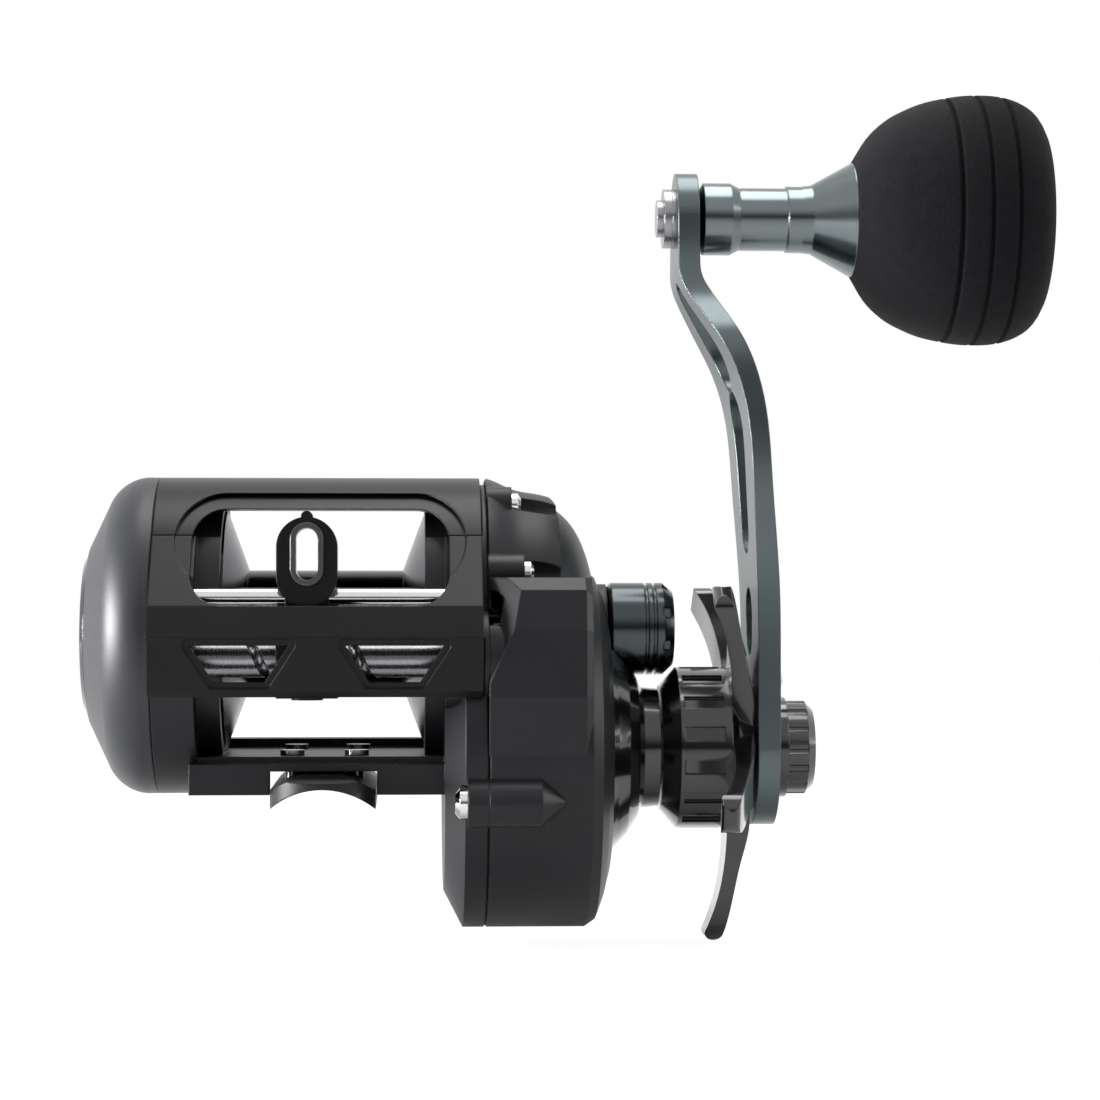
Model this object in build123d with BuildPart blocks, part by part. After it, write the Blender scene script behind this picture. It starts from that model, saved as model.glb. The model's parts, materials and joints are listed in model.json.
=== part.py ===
from build123d import *
import math
import os

# Baitcasting reel, millimetres. The origin is the apex of the saddle under the foot, at the foot's middle.
# +X is the handle side, -Y the line guide side, +Z up.

# Spool
spool_z = 24.0                  # height of the spool axis above the foot's saddle
flange_radius = 18.5
flange_rim = 1.2                # thickness of a flange at its rim
spool_half = 16.8               # middle to outer face of a flange
arbor_radius = 9.3
arbor_half = 12.2
shaft_radius = 1.4

# Drive gears and the crank axis, which lies below and a little in front of the spool axis
drive_module = 0.5
main_teeth = 64
pinion_teeth = 12
crank_lean = 6.0                # degrees from straight below the spool
drive_centres = drive_module * (main_teeth + pinion_teeth) / 2
crank_y = -drive_centres * math.sin(math.radians(crank_lean))
crank_z = spool_z - drive_centres * math.cos(math.radians(crank_lean))

# Level wind gears, in one straight train from the crank to the worm
line_module = 0.6
line_drive_teeth = 30
idler_teeth = 21
worm_teeth = 16
train_rise = 33.2               # degrees above the horizontal, towards the front
idler_reach = line_module * (line_drive_teeth + idler_teeth) / 2
worm_reach = idler_reach + line_module * (idler_teeth + worm_teeth) / 2
idler_y = crank_y - idler_reach * math.cos(math.radians(train_rise))
idler_z = crank_z + idler_reach * math.sin(math.radians(train_rise))
worm_y = crank_y - worm_reach * math.cos(math.radians(train_rise))
worm_z = crank_z + worm_reach * math.sin(math.radians(train_rise))

# Clearances
running = 0.05                  # radial gap of a shaft in its bearing
loose = 0.15                    # gap between pieces that only pass each other
seam = 0.3                      # small chamfer where two covers meet
seat_gap = 0.3                  # gap between curved faces of different bodies
backlash = 0.1                  # thinning of each gear tooth at the pitch circle

# Frame
left_out = -26.0                # outer face of the left frame plate
left_in = -19.5
right_in = 18.6
right_out = 25.1                # face where the gear cover seats
plate_y = -1.0                  # centre of the round left plate
plate_z = 23.0
plate_radius = 25.0
spool_hole = flange_radius + 0.5
lip_radius = 21.4
lip_depth = 3.6                 # how far each lip reaches over a flange
floor_low = 2.3
floor_top = 4.4
bar_low = -1.3
bar_top = 5.9
shell = 1.7                     # wall of the covers

# Gear cover, outward from the frame's right face
drum_radius = 28.3
drum_out = right_out + 19.4
ear_radius = 7.4
ear_out = right_out + 5.9
cap_radius = 7.35
screw_radius = 1.0

# Gears and clutch along X, outward from the frame's right face
line_gear_in = right_out + 0.8
line_gear_out = line_gear_in + 2.2
shaft_flange_in = line_gear_out + 0.3
main_in = shaft_flange_in + 2.6
main_out = main_in + 3.4
post_y = 8.0                    # yoke posts, each side of the spool axis
post_z = spool_z + 2.0
post_radius = 1.2

# Crank line, outward along X
sleeve_radius = 4.0
crank_radius = 3.0
crank_end_radius = 2.6          # where the handle sits on the drive shaft
star_in = drum_out + 8.4
star_out = star_in + 10.3
star_face = star_out + 4.1
star_hub_radius = 12.8
star_reach = 30.6
arm_thick = 3.5                 # at the crank
arm_x = star_face + 0.25 + arm_thick / 2
knob_x = arm_x - 12.05          # middle of the handle arm at the knob
arm_in = arm_x - arm_thick / 2
arm_out = arm_x + arm_thick / 2
washer_out = arm_out + 1.9
nut_out = washer_out + 4.4
knob_reach = 84.5               # crank axis to knob axis
knob_z = crank_z + knob_reach
spindle_radius = 2.4

# Level wind
guide_x = -2.3                  # where the line guide stands at rest
carriage_half = 4.65
worm_radius = 2.75
journal_radius = 1.6            # of the worm shaft
bush_radius = 2.6
rod_radius = 1.5
rod_y = -24.4
rod_z = 28.8
rod_right = right_in + 1.8

# Foot
foot_width = 16.1
foot_length = 58.0
foot_thick = 2.2
foot_screw_radius = 1.1
foot_screw_pitch = (10, 20)
saddle_radius = 11.4


def section(x):
    """Plane across the reel at x: sketch x is the reel's Y, sketch y is its Z."""
    return Plane.YZ.offset(x)


def axle(y, z):
    """Axis along X at a place in the side view."""
    return Axis((0, y, z), (1, 0, 0))


def turned(points, y, z):
    """Solid turned about an axle at y, z from an outline of (x, radius) points."""
    with BuildPart() as piece:
        with BuildSketch(Plane(origin=(0, y, z), x_dir=(1, 0, 0), z_dir=(0, -1, 0))):
            with BuildLine():
                Polyline(*points, close=True)
            make_face()
        revolve(axis=axle(y, z))
    return piece.part


def turned_round(start, curve, end, y, z):
    """Solid turned about an axle, with a smooth curve of (x, radius) points between two straight runs."""
    with BuildPart() as piece:
        with BuildSketch(Plane(origin=(0, y, z), x_dir=(1, 0, 0), z_dir=(0, -1, 0))):
            with BuildLine():
                Polyline(*start, curve[0])
                Spline(*curve)
                Polyline(curve[-1], *end, start[0])
            make_face()
        revolve(axis=axle(y, z))
    return piece.part


def ring(x0, x1, inner, outer, y, z):
    """Plain ring about an axle."""
    return turned([(x0, inner), (x1, inner), (x1, outer), (x0, outer)], y, z)


def gear_face(module, teeth, turn):
    """Involute gear outline, a tooth pointing at turn degrees, thinned by the backlash."""
    pressure = math.radians(20)
    pitch = module * teeth / 2
    base = pitch * math.cos(pressure)
    root = pitch - 1.25 * module
    tip = pitch + module
    half = math.pi / (2 * teeth) - backlash / (2 * pitch)
    spread = half + math.tan(pressure) - pressure
    start = max(base, root)
    flank = []
    for step in range(5):
        radius = start + (tip - start) * step / 4
        turned_by = math.acos(min(1.0, base / radius))
        flank.append((radius, spread - (math.tan(turned_by) - turned_by)))
    points = []
    for tooth in range(teeth):
        middle = math.radians(turn) + 2 * math.pi * tooth / teeth
        side = [(root, flank[0][1])] + flank if root < start else flank
        outline = [(r, -a) for r, a in side] + [(r, a) for r, a in reversed(side)]
        for radius, angle in outline:
            points.append((radius * math.cos(middle + angle), radius * math.sin(middle + angle)))
    with BuildSketch(Plane.XY) as outline_sketch:
        with BuildLine():
            Polyline(*points, close=True)
        make_face()
    return outline_sketch.sketch


def gear_blank(face, x0, x1, y, z):
    """Gear of the given outline between x0 and x1 about an axle."""
    with BuildPart() as piece:
        with BuildSketch(section(x0)):
            with Locations((y, z)):
                add(face)
        extrude(amount=x1 - x0)
    return piece.part


def bored(part, x0, x1, radius, y, z):
    """The part with a round hole along an axle."""
    with BuildPart() as piece:
        add(part)
        with BuildSketch(section(x0)):
            with Locations((y, z)):
                Circle(radius)
        extrude(amount=x1 - x0, mode=Mode.SUBTRACT)
    return piece.part


def joined(*parts):
    """One part from touching or overlapping parts."""
    with BuildPart() as piece:
        for part in parts:
            add(part)
    return piece.part


def cut(part, *tools):
    """The part less the tools."""
    with BuildPart() as piece:
        add(part)
        for tool in tools:
            add(tool, mode=Mode.SUBTRACT)
    return piece.part


def block(low, high):
    """Box between two corners."""
    with BuildPart() as piece:
        with Locations(tuple((a + b) / 2 for a, b in zip(low, high))):
            Box(*[b - a for a, b in zip(low, high)])
    return piece.part


def wheel_turn(angle, teeth, teeth_next, phase):
    """Turn of the next gear, so that it meshes along the direction angle."""
    shift = (phase - angle) * teeth / teeth_next
    return angle + 180 - shift + 180 / teeth_next


pieces = {}

# ---------------------------------------------------------------- covers' side profiles
hood_top_z = 38.3
sill_z = 27.6
hood_foot_z = 13.95
nose = [(-20.9, hood_top_z), (-30.4, sill_z), (-32.9, 22.9), (-32.5, 22.3), (-31.2, 14.9), (-30.2, hood_foot_z)]


def nose_points(back):
    """The hood's outline, moved back from its front by a distance."""
    return [(y + back, z) for y, z in nose]


def hood_band(front, back, x0, x1):
    """Hood wall between two distances behind its front, from x0 to x1."""
    with BuildPart() as piece:
        with BuildSketch(section(x0)):
            with BuildLine():
                Polyline(*nose_points(front), *reversed(nose_points(back)), close=True)
            make_face()
        extrude(amount=x1 - x0)
    return piece.part


opening_left = -20.0
opening_right = 19.2
opening_width = opening_right - opening_left
opening_middle = (opening_left + opening_right) / 2
opening_corner = 5.0
opening_top = 42.5
hood_right = right_out - 0.9
hood_back = 2.0
border_width = 2.6              # sunk border round the line opening
border_depth = 0.6
port_border = 1.0               # sunk border round each worm port
port_top = 21.7
port_low = 16.2
port_corner = 0.6


def port_prism(middle, grow):
    """Trapezoid bar through a worm port, grown by a border."""
    with BuildPart() as piece:
        with BuildSketch(Plane.XZ.offset(15)):
            with Locations((middle, (port_top + port_low) / 2)):
                Trapezoid(14.8, port_top - port_low, -57, -57)
            offset(amount=grow + port_corner)
            offset(amount=-port_corner)
        extrude(amount=30)
    return piece.part


def opening_prism(low, high, grow, corner):
    """Rounded bar through the line opening, grown by a border."""
    with BuildPart() as piece:
        with BuildSketch(Plane.XZ.offset(-visor_back - 1)):
            with Locations((opening_middle, (low + high) / 2)):
                RectangleRounded(opening_width + 2 * grow, high - low + 2 * grow, corner + grow)
        extrude(amount=50)
    return piece.part


visor_in = plate_radius - 4.2
visor_back = 3.5
ports = (-12.3, 10.9)
hood_skin = hood_band(-5, border_depth, left_out - 1, right_out)
with BuildPart() as front_cover:
    add(hood_band(0, hood_back, left_out, hood_right))
    opening = opening_prism(sill_z, 2 * hood_top_z - sill_z, 0, opening_corner)
    border = opening_prism(sill_z + 2 * border_width, 2 * hood_top_z - sill_z, border_width, opening_corner)
    add(hood_skin.intersect(border), mode=Mode.SUBTRACT)
    add(opening, mode=Mode.SUBTRACT)
    for middle in ports:
        add(hood_skin.intersect(port_prism(middle, port_border)), mode=Mode.SUBTRACT)
        add(port_prism(middle, 0), mode=Mode.SUBTRACT)
pieces["front_cover"] = front_cover.part

with BuildPart() as top_visor:
    with BuildSketch(section(left_out)):
        with Locations((plate_y, plate_z)):
            Circle(plate_radius)
            Circle(visor_in, mode=Mode.SUBTRACT)
        with Locations((visor_back + 50, plate_z)):
            Rectangle(100, 120, mode=Mode.SUBTRACT)
        with Locations((0, hood_top_z + 0.05 - 50)):
            Rectangle(120, 100, mode=Mode.SUBTRACT)
    extrude(amount=hood_right - left_out)
    visor_skin = ring(left_out - 1, hood_right + 1, plate_radius - border_depth, plate_radius + 5, plate_y, plate_z)
    visor_border = opening_prism(opening_top - 40, opening_top, border_width, opening_corner)
    add(visor_skin.intersect(visor_border), mode=Mode.SUBTRACT)
    add(opening_prism(opening_top - 40, opening_top, 0, opening_corner), mode=Mode.SUBTRACT)
pieces["top_visor"] = top_visor.part

# ---------------------------------------------------------------- frame
visor_room = turned(
    [(left_out - 1, visor_in - loose), (hood_right + loose, visor_in - loose),
     (hood_right + loose, plate_radius + 5), (left_out - 1, plate_radius + 5)], plate_y, plate_z)
hood_room = hood_band(-20, hood_back + loose, left_out - 1, hood_right + loose)

with BuildPart() as left_plate:
    with BuildSketch(section(left_out)):
        with Locations((plate_y, plate_z)):
            Circle(plate_radius)
        with Locations((worm_y, worm_z)):
            Circle(4.4)
    extrude(amount=left_in - left_out)

with BuildPart() as right_plate:
    with BuildSketch(section(right_in)):
        with Locations((0, spool_z)):
            Circle(23.0)
        with Locations((crank_y, crank_z)):
            Circle(22.5)
        with Locations((worm_y, worm_z)):
            Circle(ear_radius)
    extrude(amount=right_out - right_in)
    add(turned([(right_in, 0), (right_in, 22.5), (right_out - 3.5, drum_radius), (right_out - seam, drum_radius),
                (right_out, drum_radius - seam), (right_out, 0)],
               crank_y, crank_z))
    with BuildSketch(section(right_in)):
        with Locations((0, spool_z)):
            Circle(3.6)
        with Locations((crank_y, crank_z)):
            Circle(4.0)
    extrude(amount=right_out - right_in, mode=Mode.SUBTRACT)

visor_cut = cut(visor_room, block((-60, -60, -60), (60, 60, hood_top_z)),
                block((-60, visor_back + loose, -60), (60, 60, 80)))
screw_y = -29.3
screw_z = -1.95
boss_radius = 3.75
screw_seat = right_out - 3.2
post_in = right_out - 4.1        # blind ends of the post holes
lip_gap = block((-60, 16.5, 12), (60, 60, 40))

with BuildPart() as frame:
    add(cut(left_plate.part, visor_cut, hood_room))
    add(cut(right_plate.part, cut(visor_cut, block((hood_right + loose, -60, -60), (60, 60, 80))), hood_room))
    add(cut(ring(left_in - 1, left_in + lip_depth, 0, lip_radius, 0, spool_z), lip_gap, visor_cut))
    add(cut(ring(right_in - lip_depth + 0.6, right_in + 1, 0, lip_radius, 0, spool_z), lip_gap, visor_cut))
    add(block((left_in - 1, -16, floor_low), (right_in + 1, 18, floor_top)))
    add(block((left_in - 1, 15, floor_low), (right_in + 1, 20, bar_top)))
    add(block((left_in - 1, -19.5, bar_low), (-foot_width / 2 - loose, -16, 3.4)))
    add(block((foot_width / 2 + loose, -19.5, bar_low), (right_in + 1, -16, 3.4)))
    add(block((-foot_width / 2 - 1, -19.5, floor_low), (foot_width / 2 + 1, -15, 3.4)))
    add(ring(screw_seat, right_out, 0, boss_radius, screw_y, screw_z))
    with BuildSketch(section(left_out)):
        with Locations((worm_y, worm_z)):
            Circle(bush_radius)
    extrude(amount=right_out - left_out + 1, mode=Mode.SUBTRACT)
    with BuildSketch(section(left_out + 2)):
        with Locations((rod_y, rod_z)):
            Circle(rod_radius)
    extrude(amount=rod_right - left_out, mode=Mode.SUBTRACT)
    with BuildSketch(section(left_out - 1)):
        with Locations((0, spool_z)):
            Circle(spool_hole)
    extrude(amount=right_in - left_out + 2.4, mode=Mode.SUBTRACT)
    with BuildSketch(section(post_in)):
        with Locations((idler_y, idler_z), (-post_y, post_z), (post_y, post_z)):
            Circle(post_radius)
        with Locations((screw_y, screw_z)):
            Circle(1.25)
    extrude(amount=right_out, mode=Mode.SUBTRACT)
    with BuildSketch(Plane.XY.offset(floor_low)):
        with GridLocations(*foot_screw_pitch, 2, 2):
            Circle(foot_screw_radius)
    extrude(amount=10, mode=Mode.SUBTRACT)
    add(ring(right_in - 1, screw_seat, 0, 2.5 + loose, screw_y, screw_z), mode=Mode.SUBTRACT)
pieces["frame"] = frame.part

# ---------------------------------------------------------------- foot
with BuildPart() as reel_foot:
    with BuildSketch(Plane.XZ.offset(-foot_length / 2)):
        with Locations((0, -saddle_radius)):
            Circle(saddle_radius + foot_thick)
            Circle(saddle_radius, mode=Mode.SUBTRACT)
        with Locations((0, (foot_thick - 4) / 2)):
            Rectangle(foot_width + 2, foot_thick + 4, mode=Mode.INTERSECT)
    extrude(amount=foot_length)
    with BuildSketch(Plane.YZ.offset(-foot_width)):
        with BuildLine():
            Polyline((-foot_length / 2, -4), (-foot_length / 2, 0.9), (-16, foot_thick), (16, foot_thick),
                     (foot_length / 2, 0.9), (foot_length / 2, -4), close=True)
        make_face()
    extrude(amount=2 * foot_width, mode=Mode.INTERSECT)
    with BuildSketch(Plane.XY.offset(-5)):
        SlotOverall(foot_length, foot_width, rotation=90)
    extrude(amount=10, mode=Mode.INTERSECT)
    with BuildSketch(Plane.XY.offset(-5)):
        with GridLocations(*foot_screw_pitch, 2, 2):
            Circle(foot_screw_radius)
    extrude(amount=10, mode=Mode.SUBTRACT)
pieces["reel_foot"] = reel_foot.part

with BuildPart() as foot_screws:
    with BuildSketch(Plane.XY.offset(0.5)):
        with GridLocations(*foot_screw_pitch, 2, 2):
            Circle(foot_screw_radius)
    extrude(amount=floor_top - 0.5)
    with BuildSketch(Plane.XY.offset(floor_top)):
        with GridLocations(*foot_screw_pitch, 2, 2):
            Circle(1.9)
    extrude(amount=0.8)
pieces["foot_screws"] = foot_screws.part

# ---------------------------------------------------------------- left side
dial_radius = 13.0
dial_out = left_out - 11.8
dial_seat = dial_out + 2.5
dial_edge = dial_out + 0.6
side_wall = dial_out + 0.8       # outer face beside the dial
cavity_end = side_wall + 3.0
hub_radius = 5.4
bearing_seat_radius = 4.0
stem_radius = 2.5
magnet_radius = 1.6
magnet_ring = 8.0
hub_end = left_in - 0.7
side_curve = [(left_out - 1.2, plate_radius), (left_out - 4.2, plate_radius - 0.5), (left_out - 6.3, plate_radius - 1.9),
              (left_out - 7.9, plate_radius - 4.3)]
with BuildPart() as left_side_plate:
    add(turned_round([(left_out, 0), (left_out, plate_radius - seam), (left_out - seam, plate_radius)], side_curve,
                     [(side_wall, 14.2), (side_wall, 0)], plate_y, plate_z))
    add(turned([(left_out + 1, 0), (left_out + 1, plate_radius - 2), (left_out - 3.4, plate_radius - 2),
                (left_out - 5.6, plate_radius - 4), (left_out - 6.6, plate_radius - 6.4), (cavity_end, 13.4), (cavity_end, 0)],
               plate_y, plate_z), mode=Mode.SUBTRACT)
    add(ring(cavity_end - 0.5, hub_end, 0, hub_radius, 0, spool_z))
    with BuildSketch(section(left_out + 1.6)):
        with Locations((0, spool_z)):
            Circle(bearing_seat_radius)
    extrude(amount=10, mode=Mode.SUBTRACT)
    with BuildSketch(section(dial_out - 2)):
        with Locations((plate_y, plate_z)):
            Circle(dial_radius + loose)
    extrude(amount=dial_seat - dial_out + 2, mode=Mode.SUBTRACT)
    with BuildSketch(section(dial_out - 2)):
        with Locations((plate_y, plate_z)):
            Circle(stem_radius + running)
    extrude(amount=cavity_end + 1.3 - dial_out + 2, mode=Mode.SUBTRACT)
pieces["left_side_plate"] = left_side_plate.part

with BuildPart() as brake_dial:
    add(turned([(dial_seat - loose, 0), (dial_seat - loose, dial_radius), (dial_edge, dial_radius), (dial_out, 12.2),
                (dial_out, 10.6), (dial_out + 0.4, 10.2), (dial_out + 0.4, 0)], plate_y, plate_z))
    add(ring(dial_seat - 1, cavity_end + 1.1, 0, stem_radius, plate_y, plate_z))
    with BuildSketch(section(dial_out - 0.4)):
        with Locations((plate_y, plate_z)):
            with PolarLocations(9.2, 1, start_angle=90):
                Circle(0.8)
    extrude(amount=1.3, mode=Mode.SUBTRACT)
pieces["brake_dial"] = brake_dial.part

pieces["left_spool_bearing"] = ring(left_out + 1.7, left_out + 4.1, shaft_radius + running, bearing_seat_radius, 0, spool_z)

carrier_in = left_out + 2.0
with BuildPart() as magnet_carrier:
    add(ring(carrier_in - 2.4, carrier_in, hub_radius + running, 10.4, 0, spool_z))
    with BuildSketch(section(carrier_in - magnet_radius)):
        with Locations((0, spool_z)):
            with PolarLocations(magnet_ring, 6):
                Circle(magnet_radius)
    extrude(amount=magnet_radius, mode=Mode.SUBTRACT)
pieces["magnet_carrier"] = magnet_carrier.part

with BuildPart() as brake_magnets:
    with BuildSketch(section(carrier_in - magnet_radius)):
        with Locations((0, spool_z)):
            with PolarLocations(magnet_ring, 6):
                Circle(magnet_radius)
    extrude(amount=magnet_radius)
pieces["brake_magnets"] = brake_magnets.part

# ---------------------------------------------------------------- spool
rim_in = spool_half - flange_rim
with BuildPart() as spool:
    add(turned([(-spool_half, 11.5), (-spool_half, flange_radius), (-rim_in, flange_radius),
                (-arbor_half, arbor_radius), (arbor_half, arbor_radius), (rim_in, flange_radius),
                (spool_half, flange_radius), (spool_half, 11.5), (arbor_half - 0.4, 7.6), (4, 7.6),
                (4, shaft_radius), (-4, shaft_radius), (-4, 7.6), (-arbor_half + 0.4, 7.6)], 0, spool_z))
pieces["spool"] = spool.part

shaft_left = left_out + 1.8
shaft_right = drum_out + 6.5
pin_x = right_out + 1.2
pin_radius = 0.5
with BuildPart() as spool_shaft:
    add(ring(shaft_left, shaft_right, 0, shaft_radius, 0, spool_z))
    with Locations((pin_x, 0, spool_z)):
        Cylinder(pin_radius, 8, rotation=(90, 0, 0), mode=Mode.SUBTRACT)
pieces["spool_shaft"] = spool_shaft.part

with BuildPart() as spool_pin:
    with Locations((pin_x, 0, spool_z)):
        Cylinder(pin_radius, 4.6, rotation=(90, 0, 0))
pieces["spool_pin"] = spool_pin.part

pieces["brake_rotor"] = joined(ring(-spool_half - 2.2, -spool_half - 1.2, shaft_radius + 1.8, 10.2, 0, spool_z),
                               ring(-spool_half - 1.3, -4.0, shaft_radius, shaft_radius + 2.0, 0, spool_z))

# ---------------------------------------------------------------- gears
drive_angle = math.degrees(math.atan2(spool_z - crank_z, -crank_y))
main_turn = drive_angle
pinion_turn = wheel_turn(drive_angle, main_teeth, pinion_teeth, main_turn)
train_angle = 180 - train_rise
line_turn = train_angle
idler_turn = wheel_turn(train_angle, line_drive_teeth, idler_teeth, line_turn)
worm_turn = wheel_turn(train_angle, idler_teeth, worm_teeth, idler_turn)

main_face = gear_face(drive_module, main_teeth, main_turn)
pinion_face = gear_face(drive_module, pinion_teeth, pinion_turn)
line_face = gear_face(line_module, line_drive_teeth, line_turn)
idler_face = gear_face(line_module, idler_teeth, idler_turn)
worm_face = gear_face(line_module, worm_teeth, worm_turn)

recess_radius = 12.6
recess_depth = 2.2
with BuildPart() as main_gear:
    add(bored(gear_blank(main_face, main_in, main_out, crank_y, crank_z), main_in, main_out,
              crank_radius + running, crank_y, crank_z))
    add(ring(main_out - recess_depth, main_out + 1, 0, recess_radius, crank_y, crank_z), mode=Mode.SUBTRACT)
pieces["main_gear"] = main_gear.part

pieces["level_wind_drive_gear"] = bored(
    gear_blank(line_face, line_gear_in, line_gear_out, crank_y, crank_z), line_gear_in, line_gear_out,
    crank_radius, crank_y, crank_z)
pieces["idler_gear"] = bored(
    gear_blank(idler_face, line_gear_in, line_gear_out, idler_y, idler_z), line_gear_in, line_gear_out,
    post_radius + running, idler_y, idler_z)
pieces["idler_pin"] = joined(ring(post_in, line_gear_out + 0.2, 0, post_radius, idler_y, idler_z),
                             ring(line_gear_out + 0.2, line_gear_out + 0.7, 0, 2.2, idler_y, idler_z))
pieces["worm_gear"] = bored(
    gear_blank(worm_face, line_gear_in, line_gear_out, worm_y, worm_z), line_gear_in, line_gear_out,
    journal_radius, worm_y, worm_z)

# Pinion: slotted inner end, groove for the yoke closed by the teeth, outer journal
pinion_end = pin_x - 0.8
groove_in = pinion_end + 2.1
groove_out = groove_in + 1.6
teeth_out = main_out + 0.8
journal_end = teeth_out + 5.8
pinion_journal = 2.3
with BuildPart() as pinion:
    add(gear_blank(pinion_face, groove_out, teeth_out, 0, spool_z))
    add(ring(pinion_end, groove_in, 0, 3.2, 0, spool_z))
    add(ring(groove_in - 0.1, journal_end, 0, pinion_journal, 0, spool_z))
    with BuildSketch(section(pinion_end - 1)):
        with Locations((0, spool_z)):
            Circle(shaft_radius + running)
    extrude(amount=30, mode=Mode.SUBTRACT)
    add(block((pinion_end - 1, -5, spool_z - pin_radius - 0.1), (pin_x + pin_radius + 0.1, 5,
        spool_z + pin_radius + 0.1)), mode=Mode.SUBTRACT)
pieces["pinion"] = pinion.part
pieces["pinion_bearing"] = ring(teeth_out + 3.2, journal_end - 0.4, pinion_journal + running, 5.0, 0, spool_z)

# ---------------------------------------------------------------- clutch
with BuildPart() as clutch_yoke:
    with BuildSketch(section(groove_in + loose)):
        with Locations((0, post_z)):
            RectangleRounded(2 * post_y + 5, 7.0, 2.0)
        with Locations((0, spool_z)):
            Circle(pinion_journal + seat_gap, mode=Mode.SUBTRACT)
        with Locations((0, spool_z - 5)):
            Rectangle(2 * (pinion_journal + seat_gap), 10, mode=Mode.SUBTRACT)
        with Locations((-post_y, post_z), (post_y, post_z)):
            Circle(post_radius + running, mode=Mode.SUBTRACT)
    extrude(amount=groove_out - groove_in - 2 * loose)
pieces["clutch_yoke"] = clutch_yoke.part

post_end = right_out + 11.5
yoke_posts = [ring(post_in, post_end, 0, post_radius, y, post_z) for y in (-post_y, post_y)]
post_heads = [ring(post_end, post_end + 0.8, 0, 2.3, y, post_z) for y in (-post_y, post_y)]
pieces["yoke_posts"] = joined(*yoke_posts, *post_heads)

spring_in = groove_out - loose
with BuildPart() as yoke_springs:
    for y in (-post_y, post_y):
        add(ring(spring_in, post_end, post_radius + loose, post_radius + 0.75, y, post_z))
pieces["yoke_springs"] = yoke_springs.part

with BuildPart() as clutch_cam:
    add(ring(right_out + 0.1, right_out + 1.1, 3.6, 6.6, 0, spool_z))
    add(ring(right_out + 1.0, groove_in - 0.2, 4.4, 6.4, 0, spool_z))
    add(block((right_out + 1.1, -20, spool_z - 3), (groove_out, 20, spool_z + 20)), mode=Mode.SUBTRACT)
pieces["clutch_cam"] = clutch_cam.part

thumb_low = 22.0
thumb_high = 30.5
with BuildPart() as thumb_bar:
    with BuildSketch(section(left_in + seat_gap)):
        with BuildLine():
            Polyline((19.4, thumb_low), (22.6, thumb_low), (23.6, 26.5), (22.4, thumb_high), (19.4, 29.0), close=True)
        make_face()
    extrude(amount=right_in - left_in - 2 * seat_gap)
    fillet(thumb_bar.edges().filter_by(Axis.X), radius=0.6)
pieces["thumb_bar"] = thumb_bar.part

# ---------------------------------------------------------------- crank line
pieces["shaft_bushing"] = ring(right_in + 1.5, right_out, 2.5 + running, 4.0, crank_y, crank_z)
washer_start = shaft_flange_in + 1.25
with BuildPart() as drive_shaft:
    add(turned([(right_in + 1.6, 0), (right_in + 1.6, 2.5), (right_out + 0.2, 2.5), (right_out + 0.2, crank_radius),
                (shaft_flange_in, crank_radius), (shaft_flange_in, 8.0), (shaft_flange_in + 1.2, 8.0),
                (shaft_flange_in + 1.2, crank_radius), (arm_in, crank_radius), (arm_in, crank_end_radius),
                (nut_out - 1.2, crank_end_radius), (nut_out - 1.2, 0)], crank_y, crank_z))
pieces["drive_shaft"] = drive_shaft.part

drag_outer = recess_radius - 0.2
recess_floor = main_out - recess_depth
drag_thick = 0.9
keyed_thick = 0.5
keyed_in = recess_floor + drag_thick + 0.1
outer_drag_in = keyed_in + keyed_thick + 0.05
plate_in = outer_drag_in + drag_thick + 0.05
plate_out = plate_in + 1.5
cone_out = plate_out + 2.0
clutch_in = drum_out - 0.9
crank_bearing_in = clutch_in + 5.7
sleeve_out = crank_bearing_in + 3.4
with BuildPart() as drag_washers:
    add(ring(washer_start, main_in - 0.05, crank_radius + running, 12.0, crank_y, crank_z))
    for start in (recess_floor + 0.05, outer_drag_in):
        add(ring(start, start + drag_thick, crank_radius + running, drag_outer, crank_y, crank_z))
pieces["drag_washers"] = drag_washers.part
pieces["keyed_washer"] = ring(keyed_in, keyed_in + keyed_thick, crank_radius + running, drag_outer, crank_y, crank_z)
pieces["pressure_plate"] = ring(plate_in, plate_out, crank_radius + running, 12.0, crank_y, crank_z)
with BuildPart() as spring_washers:
    for first, last in ((5.6, crank_radius + 0.1), (crank_radius + 0.1, 5.6)):
        start = plate_out + 0.05 if first > last else plate_out + 1.0
        add(turned([(start, first), (start + 0.5, last), (start + 0.9, last), (start + 0.4, first)], crank_y, crank_z))
pieces["spring_washers"] = spring_washers.part
pieces["clutch_sleeve"] = ring(cone_out, sleeve_out, crank_radius + running, sleeve_radius, crank_y, crank_z)
pieces["one_way_clutch"] = ring(clutch_in, clutch_in + 5.0, sleeve_radius + running, 7.0, crank_y, crank_z)
pieces["crank_bearing"] = ring(crank_bearing_in, crank_bearing_in + 2.4, sleeve_radius + running, 6.4, crank_y, crank_z)

spigot_radius = 9.0
housing_out = drum_out + 8.1
bearing_stop = crank_bearing_in + 2.5
housing = turned(
    [(clutch_in - 1.0, 7.05), (clutch_in - 1.0, spigot_radius), (drum_out, spigot_radius), (drum_out, 17.2),
     (drum_out + 1.1, 15.9), (drum_out + 3.0, 13.9), (drum_out + 4.7, 11.4), (drum_out + 5.5, 9.6),
     (housing_out, 9.4), (housing_out, sleeve_radius + 0.6), (bearing_stop, sleeve_radius + 0.6),
     (bearing_stop, 6.4), (crank_bearing_in - 0.1, 6.4), (crank_bearing_in - 0.1, 5.6),
     (clutch_in + 5.1, 5.6), (clutch_in + 5.1, 7.05)], crank_y, crank_z)
pieces["crank_bearing_housing"] = cut(housing, ring(drum_out - 3, housing_out, 0, cap_radius + seat_gap, 0, spool_z))

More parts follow.
